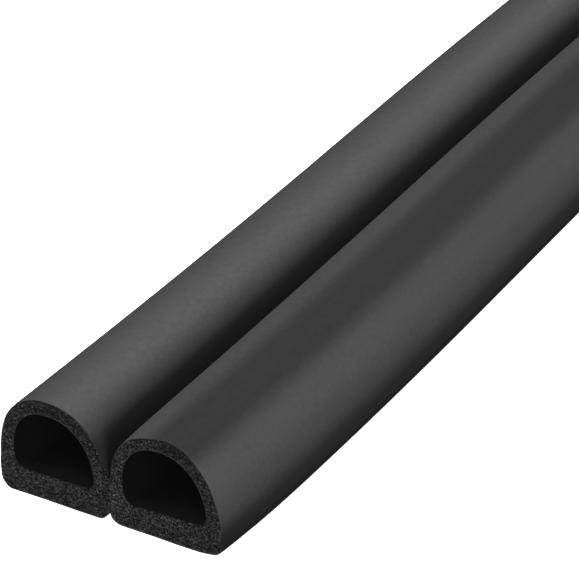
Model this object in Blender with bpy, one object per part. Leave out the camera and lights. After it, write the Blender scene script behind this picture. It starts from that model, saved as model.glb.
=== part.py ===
"""Twin D-profile door seal strip: one straight cut length of extruded cellular rubber.

Two equal hollow D sections lie side by side on their flat bases. They are one extrusion,
joined along their touching flanks by a narrow web that is torn by hand when a single
strip is wanted. Above the web the two domes leave a V groove. Below it a fine slit opens
into the notch between the rounded base corners.

The section lies in the XZ plane with its base on z = 0, and the strip runs along Y.
The origin is at the middle of the base. Lengths are in metres.
"""

import math

import bpy
import bmesh
import numpy as np

# Driving dimensions of the strip
STRIP_LENGTH = 1.0
PROFILE_WIDTH = 0.0090          # one D section, flank to flank
PROFILE_HEIGHT = 0.0080         # base to crown
FLANK_OVERLAP = 0.0002          # how far the two flanks run into each other at the web

# Walls of each D section
BASE_THICKNESS = 0.00215
SIDE_WALL = 0.00125
CROWN_WALL = 0.0010

# Outer form of each D section
BASE_CORNER_RADIUS = 0.0009
FLANK_RISE = 0.0003             # upright flank between the base corner and the dome
DOME_FULLNESS = 2.42            # exponent of the superellipse, 2 is a plain ellipse

# Form of each hollow
HOLLOW_CORNER_RADIUS = 0.0008
HOLLOW_FLANK_RISE = 0.0001      # upright wall between the floor corner and the inner dome
HOLLOW_FULLNESS = 2.2
LEFT_HOLLOW_TURN = math.radians(0.8)    # the extruder's cores stand a little askew
RIGHT_HOLLOW_TURN = math.radians(2.5)

# Seam between the two D sections
GROOVE_ROOT_WIDTH = 0.00008     # floor of the V groove above the web
SLIT_WIDTH = 0.00008
SLIT_RISE = 0.0006              # slit above the base corners, up to the underside of the web

# Worked out from the sizes above
PROFILE_PITCH = PROFILE_WIDTH - FLANK_OVERLAP

# Fineness of the curves
CORNER_STEPS = 8
DOME_STEPS = 40
WELD_DISTANCE = 0.000001
SMOOTH_ANGLE = math.radians(35)

# Finish of the cellular rubber
RUBBER_COLOUR = (0.025, 0.025, 0.026, 1.0)
RUBBER_ROUGHNESS = 0.6


def arc(centre_x, centre_z, radius, start, end):
    """Points of a circular arc: centre plus radius times cosine and sine of the angle."""
    angle = np.linspace(start, end, CORNER_STEPS + 1)
    return np.column_stack((centre_x + radius * np.cos(angle),
                            centre_z + radius * np.sin(angle)))


def dome(centre_x, spring, half_width, rise, fullness, end):
    """Points of a superellipse arch from its right foot, angle 0, over the crown to end.

    With t the angle and n the fullness, x is half_width times |cos t| to the power 2/n
    with the sign of cos t, and z is spring plus rise times |sin t| to the power 2/n.
    """
    angle = np.linspace(0.0, end, DOME_STEPS + 1)
    cosine = np.cos(angle)
    power = 2.0 / fullness
    across = half_width * np.sign(cosine) * np.abs(cosine) ** power
    up = rise * np.abs(np.sin(angle)) ** power
    return np.column_stack((centre_x + across, spring + up))


def right_half_outline():
    """Outer outline of the right D section, from the slit round to the V groove."""
    centre = PROFILE_PITCH / 2
    half_width = PROFILE_WIDTH / 2
    radius = BASE_CORNER_RADIUS
    spring = radius + FLANK_RISE

    slit_top = [(SLIT_WIDTH / 2, radius + SLIT_RISE)]
    inner_corner = arc(SLIT_WIDTH / 2 + radius, radius, radius, math.pi, 1.5 * math.pi)
    outer_corner = arc(centre + half_width - radius, radius, radius,
                       1.5 * math.pi, 2.0 * math.pi)
    # The arch ends where it comes within half the groove's root of the middle plane.
    reach = (centre - GROOVE_ROOT_WIDTH / 2) / half_width
    root = math.pi - math.acos(reach ** (DOME_FULLNESS / 2))
    arch = dome(centre, spring, half_width, PROFILE_HEIGHT - spring, DOME_FULLNESS, root)
    return np.vstack((slit_top, inner_corner, outer_corner, arch))


def section_outline():
    """The whole outer outline: the right half, then its mirror image run backwards."""
    right = right_half_outline()
    left = right[::-1] * (-1.0, 1.0)
    return np.vstack((right, left))


def turned(points, angle):
    """Points turned anticlockwise by the angle about the middle of their box."""
    middle = (points.min(axis=0) + points.max(axis=0)) / 2
    cosine, sine = math.cos(angle), math.sin(angle)
    return (points - middle) @ np.array(((cosine, sine), (-sine, cosine))) + middle


def hollow_outline(centre_x, turn):
    """One hollow: a flat floor with rounded corners under an inner dome, turned a little."""
    half_width = PROFILE_WIDTH / 2 - SIDE_WALL
    radius = HOLLOW_CORNER_RADIUS
    centre_z = BASE_THICKNESS + radius
    spring = centre_z + HOLLOW_FLANK_RISE
    rise = PROFILE_HEIGHT - CROWN_WALL - spring

    left_corner = arc(centre_x - half_width + radius, centre_z, radius,
                      math.pi, 1.5 * math.pi)
    right_corner = arc(centre_x + half_width - radius, centre_z, radius,
                       1.5 * math.pi, 2.0 * math.pi)
    arch = dome(centre_x, spring, half_width, rise, HOLLOW_FULLNESS, math.pi)
    return turned(np.vstack((left_corner, right_corner, arch)), turn)


def rubber():
    """Charcoal cellular rubber, matt."""
    material = bpy.data.materials.new("cellular_rubber")
    material.use_nodes = True
    shader = material.node_tree.nodes["Principled BSDF"]
    shader.inputs["Base Color"].default_value = RUBBER_COLOUR
    shader.inputs["Roughness"].default_value = RUBBER_ROUGHNESS
    shader.inputs["Metallic"].default_value = 0.0
    return material


def extruded(name, outlines, length):
    """A flat outline with its hollows, extruded by half the length to each side of y = 0.

    The first outline is the outer one and the others are holes in it. The curve lies in
    its own XY plane, so it is turned a quarter about X to stand in the world's XZ plane.
    """
    curve = bpy.data.curves.new(name + "_outline", "CURVE")
    curve.dimensions = "2D"
    curve.fill_mode = "BOTH"
    curve.extrude = length / 2
    for outline in outlines:
        spline = curve.splines.new("POLY")
        spline.points.add(len(outline) - 1)
        spline.use_cyclic_u = True
        zeros = np.zeros(len(outline))
        points = np.column_stack((outline, zeros, zeros + 1.0))
        spline.points.foreach_set("co", points.ravel())
    drawn = bpy.data.objects.new(name + "_outline", curve)
    drawn.rotation_euler = (math.pi / 2, 0.0, 0.0)
    bpy.context.scene.collection.objects.link(drawn)
    bpy.context.view_layer.update()

    evaluated = drawn.evaluated_get(bpy.context.evaluated_depsgraph_get())
    mesh = bpy.data.meshes.new_from_object(evaluated)
    mesh.name = name
    solid = bpy.data.objects.new(name, mesh)
    solid.matrix_world = drawn.matrix_world
    bpy.data.objects.remove(drawn)

    edit = bmesh.new()
    edit.from_mesh(mesh)
    bmesh.ops.remove_doubles(edit, verts=edit.verts, dist=WELD_DISTANCE)
    bmesh.ops.recalc_face_normals(edit, faces=edit.faces)
    edit.to_mesh(mesh)
    edit.free()
    mesh.shade_smooth()
    mesh.set_sharp_from_angle(angle=SMOOTH_ANGLE)
    return solid


def build():
    """The seal strip, one extrusion with two hollows."""
    for old in list(bpy.data.objects):
        bpy.data.objects.remove(old)

    collection = bpy.data.collections.new("door_seal_strip")
    bpy.context.scene.collection.children.link(collection)

    outlines = [section_outline(),
                hollow_outline(-PROFILE_PITCH / 2, LEFT_HOLLOW_TURN),
                hollow_outline(PROFILE_PITCH / 2, RIGHT_HOLLOW_TURN)]
    strip = extruded("twin_d_seal", outlines, STRIP_LENGTH)
    strip.data.materials.clear()
    strip.data.materials.append(rubber())
    collection.objects.link(strip)


build()
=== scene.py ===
"""Looks of the twin D-profile door seal strip: charcoal cellular rubber with a satin skin.

Every surface here is a grid worked out with numpy: the extruded skin round both D sections,
the lining of each hollow, and the sawn faces at both ends with their opened foam cells.
Lengths are in metres, +Y runs along the strip and +Z points up.
"""

import math

import bpy
import numpy as np
from mathutils import Matrix, Vector


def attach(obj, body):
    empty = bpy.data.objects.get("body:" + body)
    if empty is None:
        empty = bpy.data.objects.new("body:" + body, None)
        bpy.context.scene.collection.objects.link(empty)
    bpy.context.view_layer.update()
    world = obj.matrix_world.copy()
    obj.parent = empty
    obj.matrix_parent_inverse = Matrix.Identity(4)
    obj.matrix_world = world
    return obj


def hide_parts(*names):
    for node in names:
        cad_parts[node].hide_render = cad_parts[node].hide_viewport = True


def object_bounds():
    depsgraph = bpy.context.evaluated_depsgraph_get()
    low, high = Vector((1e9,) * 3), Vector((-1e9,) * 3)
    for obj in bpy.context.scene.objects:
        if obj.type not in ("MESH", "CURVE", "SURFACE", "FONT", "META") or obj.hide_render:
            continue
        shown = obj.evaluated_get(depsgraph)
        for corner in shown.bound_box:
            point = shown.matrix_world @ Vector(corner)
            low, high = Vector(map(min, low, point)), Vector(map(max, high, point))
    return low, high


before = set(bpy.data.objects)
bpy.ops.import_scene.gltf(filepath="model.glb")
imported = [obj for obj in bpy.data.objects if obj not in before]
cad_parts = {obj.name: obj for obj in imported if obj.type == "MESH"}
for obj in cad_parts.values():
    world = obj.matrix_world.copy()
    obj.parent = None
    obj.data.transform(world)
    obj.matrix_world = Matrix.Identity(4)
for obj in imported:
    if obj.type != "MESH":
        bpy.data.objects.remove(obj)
CAD_BOX = [list(corner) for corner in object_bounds()]
STRIP_NODE = "twin_d_seal"

# Section of each D, as in the construction
LOW, HIGH = (Vector(corner) for corner in CAD_BOX)
FLANK_OVERLAP = 0.0002
PROFILE_WIDTH = (HIGH.x - LOW.x + FLANK_OVERLAP) / 2
PROFILE_HEIGHT = HIGH.z - LOW.z
BASE_THICKNESS = 0.00215
SIDE_WALL = 0.00125
CROWN_WALL = 0.0010
BASE_CORNER_RADIUS = 0.0009
FLANK_RISE = 0.0003
DOME_FULLNESS = 2.42
HOLLOW_CORNER_RADIUS = 0.0008
HOLLOW_FLANK_RISE = 0.0001
HOLLOW_FULLNESS = 2.2
LEFT_HOLLOW_TURN = math.radians(0.8)
RIGHT_HOLLOW_TURN = math.radians(2.5)
GROOVE_ROOT_WIDTH = 0.00008
SLIT_WIDTH = 0.00008
SLIT_RISE = 0.0006
PROFILE_PITCH = PROFILE_WIDTH - FLANK_OVERLAP
HALF_LENGTH = (HIGH.y - LOW.y) / 2

# Fineness of the grids
ARC_STEPS = 60
DOME_STEPS = 600
OUTLINE_POINTS = 4000           # points along an outline that is read by direction
EVENING_POINTS = 6              # neighbours to each side that a direction is evened with
SIDE_POINTS = 190               # skin points on one D section, slit to groove
WEB_POINTS = 16                 # points down the web on the middle plane
RING_SPLITS = 5                 # cut face points for each skin point
WALL_ROWS = 62                  # cut face points from the outer skin to the hollow
STATION_STEPS = 115             # steps along each half of the strip
EVEN_STATIONS = 0.10            # share of a half that is covered by even steps

# Lie of the soft strip, which snakes a little to each side of its middle line: in a short
# wave where hands have held it for the cut, and in a long one farther along
LAY_REACH = 0.00025
SHORT_WAVE = 0.082
LONG_WAVE = 0.43
HELD_LENGTH = 0.20

# Relief of the rubber. A ripple's spacings are across and along the surface.
SKIN_SINK = 0.000008            # mean depth of the skin under the drawn outline
SKIN_RIPPLE = 0.000004
SKIN_RIPPLE_SPACING = (0.0022, 0.024)
LINING_RIPPLE = 0.000010
LINING_RIPPLE_SPACING = (0.0030, 0.012)
CUT_WAVE = 0.000025             # unevenness of the sawn face
CUT_WAVE_SPACING = (0.0060, 0.0045)
EDGE_ROLL = 0.000014            # how far the skin draws in at the cut
EDGE_REACH = 0.00006
SKIN_THICKNESS = 0.00005        # closed skin without open cells
SOLID_RIM = 0.6                 # thicknesses at the outline before the cells fade in
SOLID_LIP = 0.4                 # the same at a hollow
WEB_DEPTH = 0.001               # added to the distance from the skin along the web
GRAIN_DEPTH = 0.00002           # of the bumps on every surface
CELL_PITCH = 0.00017
CELL_FLATTENING = 0.35          # depth of a pit, as a share of its ball's
CELL_RADII = (0.30, 0.66)       # smallest and largest, in pitches
CELL_MARGIN = 0.12              # least way of a cell's middle from its square's side
FINE_PITCH_SHARE = 0.55         # pitch and depth of the fine cells, to the coarse ones'

# The knife leaves the soft ends a little out of shape: which D section, where each bulge
# starts and ends on the way from the slit, 0, to the groove, 1, how soft its edges are on
# the same scale, and how far it stands out. It dies away along the strip
END_BULGES = (
    ("left", 0.345, 0.445, 0.020, 0.00015),
    ("left", 0.695, 1.100, 0.030, 0.00014),
    ("right", 0.325, 0.430, 0.020, -0.00022),
    ("right", 0.645, 0.730, 0.025, 0.00018),
    ("right", 0.755, 1.100, 0.030, -0.00014),
)
BULGE_REACH = 0.003

# Away from the knife the soft right D settles against its neighbour and onto its foot:
# bands as above, each with the distance from a cut over which it grows
SWELLS = (
    ("right", 0.315, 0.400, 0.020, 0.00012, 0.005),
    ("right", 0.760, 0.930, 0.030, 0.00028, 0.020),
)

# Lean of the notch and the slit between the two bases
NOTCH_LEAN = -0.0003            # sideways on the base's level, none at the notch's height
NOTCH_REACH = 0.0009
NOTCH_HEIGHT = 0.0015

# Reflectance of the rubber, with painted highlights and painted shade in it
SKIN_TONE = 0.0295
FOAM_TONE = 0.0084
FOAM_CONTRAST = 1.45
FINE_CELL_LIGHT = 1.6           # how much each cell's own tone counts
COARSE_CELL_LIGHT = 1.2
WALL_LIGHT = 0.5                # on the walls between the cells, less the depth in a cell, which paints shade into the pits
FOAM_DARKEST = 0.05             # of the mean, before the power that spreads the tones
FOAM_SPREAD = 2.2
CROWN_SHADE = 0.50              # power of e that the crown's foam is darker by
FLANK_SHADE = 0.20              # the same for a right flank, which a left one is paler by
GLINT_SHARE = 0.012             # share of the fine cells that get a painted glint
GLINT_GAIN = 0.45
RIM_HIGHLIGHT_TONE = 0.042                # closed skin where the saw cuts it, paler as a painted highlight on its rolled edge
RIM_FADE = 0.12                 # share of the way round over which the painted highlight dulls to painted shade at the groove
RIM_DULLEST = 0.25
LIP_TONE = 0.015                # the cut skin round a hollow
# painted shade: the lining of the hollows is all but black, as their shaded inside looks
HOLLOW_SHADE_TONE = 0.0022

# Painted highlights and painted shade in bands along the skin: paler where highlights fall
# over the left crown and on the right flank and shoulder, darker in the groove, along the
# right foot and over the right crown. Each band gives which D section, where it starts and
# ends on the way from the slit,
# 0, to the groove, 1, how soft its edges are on the same scale, and the power of e that it
# adds to the tone
PAINTED_LIGHT_BANDS = (
    ("left", 0.30, 0.76, 0.050, 0.22),
    ("left", 0.76, 0.845, 0.050, 0.60),
    ("left", 0.887, 1.10, 0.036, -1.15),
    ("right", -0.30, 0.425, 0.022, -1.40),
    ("right", 0.46, 0.56, 0.022, 0.34),
    ("right", 0.63, 0.756, 0.018, -0.68),
    ("right", 0.80, 1.00, 0.094, 0.41),
)

# View of the photograph, which is a square of 579 pixels
PHOTO_SIDE = 579
FOCAL_PIXELS = 2698.0
SENSOR_WIDTH = 36.0             # millimetres
CAMERA_DISTANCE = 0.1761        # along the view, to the foot of the middle plane at the cut
CAMERA_TURN = math.radians(34.97)
CAMERA_TILT = math.radians(31.24)
CAMERA_ROLL = math.radians(-4.35)
FOOT_PIXEL = (112.3, 523.1)     # where the foot of the middle plane shows

# Studio
LIGHT_DISTANCE = 6.0
SOFTBOXES = (                   # name, azimuth, elevation, size, power
    ("top_left_box", 210.0, 68.0, 23.0, 520.0),
    ("top_front_box", 270.0, 68.0, 23.0, 210.0),
    ("front_right_box", 330.0, 11.0, 21.0, 400.0),
    ("right_box", 30.0, 11.0, 21.0, 125.0),
    ("back_box", 90.0, 2.0, 12.0, 50.0),
)
FLOOR_GLOW = 1.0
FLOOR_REACH = 20.0
FLOOR_GAP = 0.00003
VEIL = 0.0023                   # light that the lens scatters over the blacks


def place_camera():
    """Camera looking down on the front cut.

    Forward is (-sin turn cos tilt, cos turn cos tilt, -sin tilt), level is (cos turn,
    sin turn, 0) and up is level cross forward. Level and up are then turned by the roll.
    The camera stands back from the foot of the middle plane by its distance along forward,
    and sideways so that the foot falls on its pixel.
    """
    forward = Vector((-math.sin(CAMERA_TURN) * math.cos(CAMERA_TILT),
                      math.cos(CAMERA_TURN) * math.cos(CAMERA_TILT),
                      -math.sin(CAMERA_TILT)))
    level = Vector((math.cos(CAMERA_TURN), math.sin(CAMERA_TURN), 0.0))
    up = level.cross(forward)
    right = math.cos(CAMERA_ROLL) * level + math.sin(CAMERA_ROLL) * up
    top = math.cos(CAMERA_ROLL) * up - math.sin(CAMERA_ROLL) * level
    foot = Vector((0.0, -HALF_LENGTH, LOW.z))
    across = (FOOT_PIXEL[0] - PHOTO_SIDE / 2) / FOCAL_PIXELS
    down = (FOOT_PIXEL[1] - PHOTO_SIDE / 2) / FOCAL_PIXELS
    stand = foot - CAMERA_DISTANCE * (forward + across * right - down * top)

    data = bpy.data.cameras.new("photo_view")
    data.sensor_width = SENSOR_WIDTH
    data.lens = FOCAL_PIXELS * SENSOR_WIDTH / PHOTO_SIDE
    data.clip_start = 0.01
    data.clip_end = 100.0
    camera = bpy.data.objects.new("photo_view", data)
    turn = Matrix((right, top, -forward)).transposed()
    camera.matrix_world = Matrix.Translation(stand) @ turn.to_4x4()
    bpy.context.scene.collection.objects.link(camera)
    bpy.context.scene.camera = camera


def arc(centre_x, centre_z, radius, start, end):
    """Points of a circular arc: centre plus radius times cosine and sine of the angle."""
    angle = np.linspace(start, end, ARC_STEPS + 1)
    return np.column_stack((centre_x + radius * np.cos(angle),
                            centre_z + radius * np.sin(angle)))


def dome(centre_x, spring, half_width, rise, fullness, end):
    """Points of a superellipse arch from its right foot, angle 0, over the crown to end.

    With t the angle and n the fullness, x is half_width times |cos t| to the power 2/n
    with the sign of cos t, and z is spring plus rise times |sin t| to the power 2/n.
    """
    angle = np.linspace(0.0, end, DOME_STEPS + 1)
    cosine = np.cos(angle)
    power = 2.0 / fullness
    across = half_width * np.sign(cosine) * np.abs(cosine) ** power
    up = rise * np.abs(np.sin(angle)) ** power
    return np.column_stack((centre_x + across, spring + up))


def way_round(points):
    """How far along the polyline each of its points lies."""
    step = np.linalg.norm(np.diff(points, axis=0), axis=1)
    return np.concatenate(([0.0], np.cumsum(step)))


def even_steps(points, count):
    """The polyline read again at count points, at equal steps along its length."""
    length = way_round(points)
    along = np.linspace(0.0, length[-1], count)
    return np.column_stack([np.interp(along, length, points[:, axis]) for axis in (0, 1)])


def right_half_outline():
    """Outer outline of the right D section, from the slit round to the V groove."""
    centre = PROFILE_PITCH / 2
    half_width = PROFILE_WIDTH / 2
    radius = BASE_CORNER_RADIUS
    spring = radius + FLANK_RISE

    slit_top = [(SLIT_WIDTH / 2, radius + SLIT_RISE)]
    inner_corner = arc(SLIT_WIDTH / 2 + radius, radius, radius, math.pi, 1.5 * math.pi)
    outer_corner = arc(centre + half_width - radius, radius, radius,
                       1.5 * math.pi, 2.0 * math.pi)
    reach = (centre - GROOVE_ROOT_WIDTH / 2) / half_width
    root = math.pi - math.acos(reach ** (DOME_FULLNESS / 2))
    arch = dome(centre, spring, half_width, PROFILE_HEIGHT - spring, DOME_FULLNESS, root)
    return even_steps(np.vstack((slit_top, inner_corner, outer_corner, arch)), SIDE_POINTS)


def hollow_outline(centre_x, turn):
    """One hollow: a flat floor with rounded corners under an inner dome, turned a little."""
    half_width = PROFILE_WIDTH / 2 - SIDE_WALL
    radius = HOLLOW_CORNER_RADIUS
    centre_z = BASE_THICKNESS + radius
    spring = centre_z + HOLLOW_FLANK_RISE
    rise = PROFILE_HEIGHT - CROWN_WALL - spring

    left_corner = arc(centre_x - half_width + radius, centre_z, radius,
                      math.pi, 1.5 * math.pi)
    right_corner = arc(centre_x + half_width - radius, centre_z, radius,
                       1.5 * math.pi, 2.0 * math.pi)
    arch = dome(centre_x, spring, half_width, rise, HOLLOW_FULLNESS, math.pi)
    points = np.vstack((left_corner, right_corner, arch))
    middle = (points.min(axis=0) + points.max(axis=0)) / 2
    cosine, sine = math.cos(turn), math.sin(turn)
    return (points - middle) @ np.array(((cosine, sine), (-sine, cosine))) + middle


def facing_outline(outline, ring):
    """For each point of the ring, the point of the outline in the same direction.

    Directions are taken from the middle of the outline's box, each is the mean of its
    neighbours' and its own, and the outline's distance is read off at each of them.
    """
    outline = even_steps(np.vstack((outline, outline[:1])), OUTLINE_POINTS)
    middle = (outline.min(axis=0) + outline.max(axis=0)) / 2
    spoke = outline - middle
    angle = np.arctan2(spoke[:, 1], spoke[:, 0])
    order = np.argsort(angle)
    wanted = np.unwrap(np.arctan2(ring[:, 1] - middle[1], ring[:, 0] - middle[0]))
    before = wanted[-EVENING_POINTS:] - 2 * math.pi
    after = wanted[:EVENING_POINTS] + 2 * math.pi
    window = 2 * EVENING_POINTS + 1
    shares = np.full(window, 1 / window)
    wanted = np.convolve(np.concatenate((before, wanted, after)), shares, mode="valid")
    reach = np.interp(wanted, angle[order], np.hypot(*spoke.T)[order], period=2 * math.pi)
    return middle + reach[:, None] * np.column_stack((np.cos(wanted), np.sin(wanted)))


def inward(ring):
    """Unit normals of a closed anticlockwise ring, pointing to its inside."""
    tangent = np.roll(ring, -1, axis=0) - np.roll(ring, 1, axis=0)
    tangent /= np.linalg.norm(tangent, axis=1)[:, None]
    return np.column_stack((-tangent[:, 1], tangent[:, 0]))


def ripple(across, along, spacing, seed):
    """Soft waviness between -1 and 1: the mean of seven sines.

    Each sine runs over across and along, each divided by its spacing, times factors
    between 0.5 and 1.6 that differ from sine to sine, plus its own phase.
    """
    draw = np.random.default_rng(seed)
    total = 0.0
    for _ in range(7):
        factor_across, factor_along = draw.uniform(0.5, 1.6, 2)
        phase = draw.uniform(0.0, 2 * math.pi)
        total = total + np.sin(2 * math.pi * (across / spacing[0] * factor_across
                                              + along / spacing[1] * factor_along) + phase)
    return total / 7


def cut_depth(x, z):
    """How far the sawn face lies inside the end plane: the saw's shallow waves."""
    return CUT_WAVE * (1.0 + ripple(x, z, CUT_WAVE_SPACING, seed=5))


def stations():
    """Places along the strip, from one end to the other, close together near both cuts.

    The distance from an end is half the length times a share of an even step plus the rest
    of its cube.
    """
    even = np.linspace(0.0, 1.0, STATION_STEPS + 1)
    distance = HALF_LENGTH * (EVEN_STATIONS * even + (1.0 - EVEN_STATIONS) * even ** 3)
    return np.concatenate((distance, (2 * HALF_LENGTH - distance)[-2::-1])) - HALF_LENGTH


def surface(name, points, material, wrap=False, attributes=None):
    """A mesh on a grid of points, rows by columns by 3, with one quad in each cell.

    Each quad runs from a point to the next column, then to the next row, so its face
    points to the cross product of the columns' direction and the rows' direction. With
    wrap, the last column joins the first.
    """
    rows, columns = points.shape[:2]
    index = np.arange(rows * columns).reshape(rows, columns)
    if wrap:
        index = np.concatenate((index, index[:, :1]), axis=1)
    quads = np.stack((index[:-1, :-1], index[:-1, 1:], index[1:, 1:], index[1:, :-1]), axis=-1)
    corners = quads.reshape(-1)
    mesh = bpy.data.meshes.new(name)
    mesh.vertices.add(rows * columns)
    mesh.vertices.foreach_set("co", points.reshape(-1))
    mesh.loops.add(len(corners))
    mesh.loops.foreach_set("vertex_index", corners)
    mesh.polygons.add(len(corners) // 4)
    mesh.polygons.foreach_set("loop_start", np.arange(0, len(corners), 4))
    mesh.update(calc_edges=True)
    mesh.shade_smooth()
    for title, values in (attributes or {}).items():
        attribute = mesh.attributes.new(title, "FLOAT", "POINT")
        attribute.data.foreach_set("value", np.asarray(values, dtype=np.float32).reshape(-1))
    mesh.materials.append(material)
    piece = bpy.data.objects.new(name, mesh)
    bpy.context.scene.collection.objects.link(piece)
    return piece


def strip_piece(name, points, material, attributes=None):
    """A surface of the strip, laid as the soft strip lies, which stands for its solid.

    Each point is moved sideways by the reach of the lay times a sine of its distance from
    the front cut. The short wave's share is e to the minus fourth power of the distance
    over the held length, and the long wave has the rest.
    """
    from_front = points[..., 1] + HALF_LENGTH
    short = np.sin(2 * math.pi * from_front / SHORT_WAVE)
    long = np.sin(2 * math.pi * from_front / LONG_WAVE)
    held = np.exp(-(from_front / HELD_LENGTH) ** 4)
    x = points[..., 0] + LAY_REACH * (long + (short - long) * held)
    laid = np.stack((x, points[..., 1], points[..., 2]), axis=-1)
    piece = surface(name, laid, material, wrap=True, attributes=attributes)
    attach(piece, "root")
    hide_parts(STRIP_NODE)


def banded(bands, columns):
    """Sum of the bands round the strip, at even steps round both D sections.

    A band adds its amount times half the difference of two hyperbolic tangents, which rise
    at its start and at its end. Columns run round the right D section first.
    """
    around = np.arange(columns) / columns
    place = {"right": 2.0 * around, "left": 2.0 * (1.0 - around)}
    total = np.zeros(columns)
    for side, start, end, softness, amount in bands:
        rise = np.tanh((place[side] - start) / softness)
        fall = np.tanh((place[side] - end) / softness)
        total += amount * (rise - fall) / 2 * (place[side] <= 1.0)
    return total


def leaning(outline):
    """The outline with its notch leant sideways.

    A point moves by the lean times e to the minus square of x over the notch's reach, times
    the part of the notch's height that is above the point.
    """
    x, z = outline.T
    share = np.exp(-(x / NOTCH_REACH) ** 2) * np.clip(1.0 - z / NOTCH_HEIGHT, 0.0, 1.0)
    return np.column_stack((x + NOTCH_LEAN * share, z))


def skin_rings(outline, places):
    """The skin round the outline at each place along the strip, rows by columns by 3.

    Each point lies inside the drawn outline by the mean sink plus a ripple, and next to a
    cut by the roll of the edge less the bulges, which fade as exponentials of the distance.
    The swells grow as one less e to the minus square of the distance over their own. No
    point lies under the flat base.
    """
    across, along = np.meshgrid(way_round(outline), places)
    from_cut = HALF_LENGTH - np.abs(along)
    fade = np.exp(-from_cut / EDGE_REACH)
    sink = SKIN_SINK + EDGE_ROLL * fade
    sink += SKIN_RIPPLE * ripple(across, along, SKIN_RIPPLE_SPACING, seed=11)
    sink -= banded(END_BULGES, len(outline)) * np.exp(-from_cut / BULGE_REACH)
    for *band, reach in SWELLS:
        sink -= banded([band], len(outline)) * (1.0 - np.exp(-(from_cut / reach) ** 2))
    normal = inward(outline)
    x = outline[:, 0] + sink * normal[:, 0]
    z = np.maximum(outline[:, 1] + sink * normal[:, 1], LOW.z + SKIN_SINK / 2)
    y = along - np.sign(along) * cut_depth(x, z) * fade
    return np.stack((x, y, z), axis=-1)


def lining_rings(outline, places, seed):
    """The hollow's lining at each place, moved by a ripple towards the hollow or from it."""
    across, along = np.meshgrid(way_round(outline), places)
    fade = np.exp(-(HALF_LENGTH - np.abs(along)) / EDGE_REACH)
    shift = LINING_RIPPLE * ripple(across, along, LINING_RIPPLE_SPACING, seed) * (1.0 - fade)
    normal = inward(outline)
    x = outline[:, 0] + shift * normal[:, 0]
    z = outline[:, 1] + shift * normal[:, 1]
    y = along - np.sign(along) * cut_depth(x, z) * fade
    return np.stack((x, y, z), axis=-1)


def split_ring(ring, times):
    """A closed ring with each of its edges cut into equal pieces."""
    step = (np.roll(ring, -1, axis=0) - ring)[:, None]
    fraction = (np.arange(times) / times)[None, :, None]
    return (ring[:, None] + step * fraction).reshape(-1, 2)


def foam_cells(x, z, pitch, seed):
    """Depth of the opened foam cells, 0 to 1, and each cell's own tone, 0 to 1.

    The plane is ruled in squares of the pitch, and each square holds one ball, its centre
    moved off the middle and its radius drawn between the smallest and the largest. The
    depth at a point is the greatest of the nearest nine balls' square root of radius
    squared less distance squared, over the largest radius. A point in no ball has a tone
    of a half.
    """
    smallest, largest = CELL_RADII
    column = np.floor(x / pitch).astype(int)
    row = np.floor(z / pitch).astype(int)
    first_column, first_row = column.min() - 1, row.min() - 1
    shape = (column.max() - first_column + 2, row.max() - first_row + 2)
    draw = np.random.default_rng(seed)
    centre_x = draw.uniform(CELL_MARGIN, 1.0 - CELL_MARGIN, shape)
    centre_z = draw.uniform(CELL_MARGIN, 1.0 - CELL_MARGIN, shape)
    radius = draw.uniform(smallest, largest, shape)
    tone = draw.uniform(0.0, 1.0, shape)
    depth = np.zeros(x.shape)
    shade = np.full(x.shape, 0.5)
    for step_x in (-1, 0, 1):
        for step_z in (-1, 0, 1):
            i = column + step_x - first_column
            j = row + step_z - first_row
            away_x = x / pitch - (column + step_x + centre_x[i, j])
            away_z = z / pitch - (row + step_z + centre_z[i, j])
            pit = np.sqrt(np.maximum(radius[i, j] ** 2 - away_x ** 2 - away_z ** 2, 0.0))
            deeper = pit > depth
            shade = np.where(deeper, tone[i, j], shade)
            depth = np.maximum(depth, pit)
    return depth / largest, shade


def shaded_foam(x, z, centre_x, open_share):
    """Depth of the coarse and fine cells together, 0 to 1, and the tone of the foam.

    The tone is a power of one plus the contrast times the light on each cell or wall, times
    e to the shades of the crown and of the flank.
    """
    coarse, coarse_tone = foam_cells(x, z, CELL_PITCH, seed=21)
    fine, fine_tone = foam_cells(x, z, CELL_PITCH * FINE_PITCH_SHARE, seed=22)
    depth = np.maximum(coarse, FINE_PITCH_SHARE * fine) * open_share
    light = FINE_CELL_LIGHT * (fine_tone - 0.5) + COARSE_CELL_LIGHT * (coarse_tone - 0.5)
    # Painted shade deepens with the depth in a cell, and painted glints lift a share of the
    # fine cells.
    light += WALL_LIGHT - depth + GLINT_GAIN * (fine_tone > 1.0 - GLINT_SHARE)
    tone = FOAM_TONE * np.maximum(1.0 + FOAM_CONTRAST * light, FOAM_DARKEST) ** FOAM_SPREAD
    tone *= np.exp(-CROWN_SHADE * (z / PROFILE_HEIGHT) ** 4
                   - FLANK_SHADE * (x - centre_x) / (PROFILE_WIDTH / 2))
    return depth, tone


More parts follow.
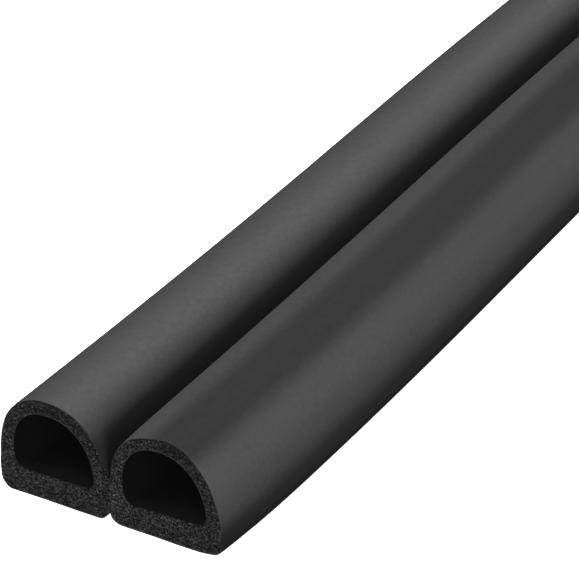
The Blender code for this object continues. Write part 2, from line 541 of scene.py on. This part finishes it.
def cut_face(name, outer, hollow, on_skin, rim_highlight, end, material):
    """The sawn face of one D section between its outer ring and its hollow's ring.

    Each column runs straight from an outer point to the hollow point that faces it. The
    cells sink into the strip, and fade out over the thickness of the closed skin, but not
    where the ring follows the web.
    """
    centre_x = (outer[:, 0].min() + outer[:, 0].max()) / 2
    outer = split_ring(outer, RING_SPLITS)
    hollow = split_ring(hollow, RING_SPLITS)
    share = np.linspace(0.0, 1.0, WALL_ROWS)[:, None, None]
    flat = outer + (hollow - outer) * share
    x, z = flat[..., 0], flat[..., 1]
    wall = np.linalg.norm(hollow - outer, axis=1)
    to_hollow = wall * (1.0 - share[..., 0])
    to_skin = wall * share[..., 0] + WEB_DEPTH * np.repeat(1.0 - on_skin, RING_SPLITS)
    past_rim = np.clip(to_skin / SKIN_THICKNESS - SOLID_RIM, 0.0, 1.0)
    past_lip = np.clip(to_hollow / SKIN_THICKNESS - SOLID_LIP, 0.0, 1.0)
    depth, tone = shaded_foam(x, z, centre_x, past_rim * past_lip)
    tone = LIP_TONE + (tone - LIP_TONE) * past_lip
    rim_highlight = np.repeat(rim_highlight, RING_SPLITS)
    # Painted highlight of the cut skin along the outline, dulled towards the groove.
    tone = rim_highlight + (tone - rim_highlight) * past_rim
    sunk = cut_depth(x, z) + CELL_PITCH * CELL_RADII[1] * CELL_FLATTENING * depth
    y = end * (HALF_LENGTH - sunk)
    points = np.stack((x, y, z), axis=-1)
    if end > 0:
        points = points[:, ::-1]
        tone = tone[:, ::-1]
    strip_piece(name, points, material, {"tone": tone})


def node(tree, kind, place, **settings):
    """A shader node with its settings, laid out at a place in the node editor."""
    made = tree.nodes.new(kind)
    made.location = place
    for title, value in settings.items():
        setattr(made, title, value)
    return made


def new_rubber(name, roughness, specular):
    """A rubber material: returns it, its node tree and its shader."""
    material = bpy.data.materials.new(name)
    material.use_nodes = True
    tree = material.node_tree
    shader = tree.nodes["Principled BSDF"]
    shader.inputs["Roughness"].default_value = roughness
    shader.inputs["Specular IOR Level"].default_value = specular
    shader.inputs["Metallic"].default_value = 0.0
    return material, tree, shader


def varied_tone(tree, shader, scale, low, high):
    """The piece's tone attribute, which holds its painted highlights and shade, times a fine
    grain between low and high. Returns the grain.
    """
    place = node(tree, "ShaderNodeTexCoord", (-1100, 0))
    grain = node(tree, "ShaderNodeTexNoise", (-900, 0))
    grain.inputs["Scale"].default_value = scale
    grain.inputs["Detail"].default_value = 4.0
    grain.inputs["Roughness"].default_value = 0.72
    spread = node(tree, "ShaderNodeMapRange", (-700, 0))
    spread.inputs["To Min"].default_value = low
    spread.inputs["To Max"].default_value = high
    tone = node(tree, "ShaderNodeAttribute", (-700, 250), attribute_name="tone")
    product = node(tree, "ShaderNodeMath", (-450, 150), operation="MULTIPLY")
    tree.links.new(place.outputs["Object"], grain.inputs["Vector"])
    tree.links.new(grain.outputs["Fac"], spread.inputs["Value"])
    tree.links.new(spread.outputs["Result"], product.inputs[0])
    tree.links.new(tone.outputs["Fac"], product.inputs[1])
    tree.links.new(product.outputs["Value"], shader.inputs["Base Color"])
    return grain


def grain_bump(tree, shader, grain, strength):
    """Tiny bumps from the grain."""
    bump = node(tree, "ShaderNodeBump", (-300, -250))
    bump.inputs["Strength"].default_value = strength
    bump.inputs["Distance"].default_value = GRAIN_DEPTH
    tree.links.new(grain.outputs["Fac"], bump.inputs["Height"])
    tree.links.new(bump.outputs["Normal"], shader.inputs["Normal"])


def rubber_skin():
    """Satin charcoal skin with a fine grain, and the painted highlight and shade bands in its
    tone.
    """
    material, tree, shader = new_rubber("satin_rubber_skin", roughness=0.5, specular=0.225)
    grain = varied_tone(tree, shader, scale=2600.0, low=0.64, high=1.36)
    grain_bump(tree, shader, grain, strength=0.15)
    return material


def cut_foam():
    """Sawn foam: each cell and each wall has its tone, with painted shade in the pits and
    painted glints.
    """
    material, tree, shader = new_rubber("cut_foam", roughness=0.6, specular=0.3)
    grain = varied_tone(tree, shader, scale=16000.0, low=0.6, high=1.4)
    grain_bump(tree, shader, grain, strength=0.5)
    return material


def hollow_skin():
    """Dull lining of the hollows, painted nearly black as the shade inside them."""
    material, tree, shader = new_rubber("hollow_lining", roughness=0.9, specular=0.0)
    grain = varied_tone(tree, shader, scale=7000.0, low=0.7, high=1.3)
    grain_bump(tree, shader, grain, strength=0.3)
    return material


def cut_ring(skin_end, side):
    """The outer ring of one D section's cut: its skin, closed by the web in the middle.

    Returns the ring with two values for each of its points: 1 on the skin and 0 on the web,
    and the tone of the cut skin, a painted highlight which dulls to painted shade at the
    groove.
    The web lies straight between the middle of the groove's root and the middle of the slit's
    top.
    """
    groove = (skin_end[SIDE_POINTS - 1] + skin_end[SIDE_POINTS]) / 2
    slit = (skin_end[0] + skin_end[-1]) / 2
    web = groove + (slit - groove) * np.linspace(0.0, 1.0, WEB_POINTS)[:, None]
    half = skin_end[:SIDE_POINTS]
    to_groove = np.linspace(1.0, 0.0, SIDE_POINTS)
    if side == "left":
        web = web[::-1]
        half = skin_end[SIDE_POINTS:]
        to_groove = to_groove[::-1]
    on_skin = np.concatenate((np.ones(SIDE_POINTS), np.zeros(WEB_POINTS)))
    rim_highlight = RIM_HIGHLIGHT_TONE * np.clip(to_groove / RIM_FADE, RIM_DULLEST, 1.0)
    return np.vstack((half, web)), on_skin, np.concatenate((rim_highlight, np.zeros(WEB_POINTS)))


def build_strip():
    """The skin, both linings and the four cut faces."""
    skin, foam, lining = rubber_skin(), cut_foam(), hollow_skin()
    places = stations()
    right = right_half_outline()
    left = right[::-1] * (-1.0, 1.0)
    skin_grid = skin_rings(leaning(np.vstack((right, left))), places)
    # The tone holds the painted highlight and shade bands.
    tone = SKIN_TONE * np.exp(banded(PAINTED_LIGHT_BANDS, 2 * SIDE_POINTS))
    tone = np.broadcast_to(tone, skin_grid.shape[:2])
    strip_piece("seal_skin", skin_grid, skin, {"tone": tone})

    for side, centre_x, turn, seed in (("right", PROFILE_PITCH / 2, RIGHT_HOLLOW_TURN, 31),
                                       ("left", -PROFILE_PITCH / 2, LEFT_HOLLOW_TURN, 32)):
        front_ring, _, _ = cut_ring(skin_grid[0][:, (0, 2)], side)
        hollow = facing_outline(hollow_outline(centre_x, turn), front_ring)
        grid = lining_rings(hollow, places, seed)
        # Painted shade fills the lining of the hollow.
        tone = np.full(grid.shape[:2], HOLLOW_SHADE_TONE)
        strip_piece(side + "_hollow_lining", grid[:, ::-1], lining, {"tone": tone})
        for end_name, end, row in (("front", -1.0, 0), ("back", 1.0, -1)):
            outer, on_skin, rim_highlight = cut_ring(skin_grid[row][:, (0, 2)], side)
            cut_face(end_name + "_cut_" + side, outer, hollow, on_skin, rim_highlight, end, foam)


def softbox(name, azimuth, elevation, size, power):
    """A square area light far out round the front cut, facing it.

    Azimuth is measured from +X towards +Y and elevation from level, both in degrees. The
    size is that of the light's side seen from the cut, also in degrees.
    """
    azimuth, elevation = math.radians(azimuth), math.radians(elevation)
    out = Vector((math.cos(azimuth) * math.cos(elevation),
                  math.sin(azimuth) * math.cos(elevation), math.sin(elevation)))
    data = bpy.data.lights.new(name, "AREA")
    data.size = 2 * LIGHT_DISTANCE * math.tan(math.radians(size) / 2)
    data.energy = power
    lamp = bpy.data.objects.new(name, data)
    lamp.location = Vector((0.0, -HALF_LENGTH, 0.0)) + LIGHT_DISTANCE * out
    lamp.rotation_mode = "QUATERNION"
    lamp.rotation_quaternion = out.to_track_quat("Z", "Y")
    lamp.visible_camera = False
    bpy.context.scene.collection.objects.link(lamp)


def white_surroundings():
    """White to the camera, and dark to the strip, which only the soft lights light."""
    world = bpy.data.worlds.new("studio")
    world.use_nodes = True
    tree = world.node_tree
    background = tree.nodes["Background"]
    background.inputs["Color"].default_value = (1.0, 1.0, 1.0, 1.0)
    path = node(tree, "ShaderNodeLightPath", (-300, 0))
    tree.links.new(path.outputs["Is Camera Ray"], background.inputs["Strength"])
    bpy.context.scene.world = world


def lay_floor():
    """Plain pale floor, lit from below as a light table is, so that shadows hardly show."""
    paper = bpy.data.materials.new("pale_paper")
    paper.use_nodes = True
    shader = paper.node_tree.nodes["Principled BSDF"]
    shader.inputs["Base Color"].default_value = (0.9, 0.9, 0.9, 1.0)
    shader.inputs["Roughness"].default_value = 0.9
    shader.inputs["Emission Color"].default_value = (1.0, 1.0, 1.0, 1.0)
    shader.inputs["Emission Strength"].default_value = FLOOR_GLOW
    side = np.linspace(-FLOOR_REACH, FLOOR_REACH, 9)
    x, y = np.meshgrid(side, side)
    level = np.full(x.shape, LOW.z - FLOOR_GAP)
    floor = surface("floor", np.stack((x, y, level), axis=-1), paper)
    floor.visible_diffuse = False
    floor.visible_glossy = False


def light_studio():
    """The floor, the surroundings and the soft lights, shown without a film look.

    The black level is lifted a little, as stray light in a lens does.
    """
    view = bpy.context.scene.view_settings
    view.view_transform = "Standard"
    view.use_curve_mapping = True
    view.curve_mapping.black_level = (-VEIL, -VEIL, -VEIL)
    view.curve_mapping.update()
    white_surroundings()
    lay_floor()
    for light in SOFTBOXES:
        softbox(*light)


place_camera()
build_strip()
light_studio()
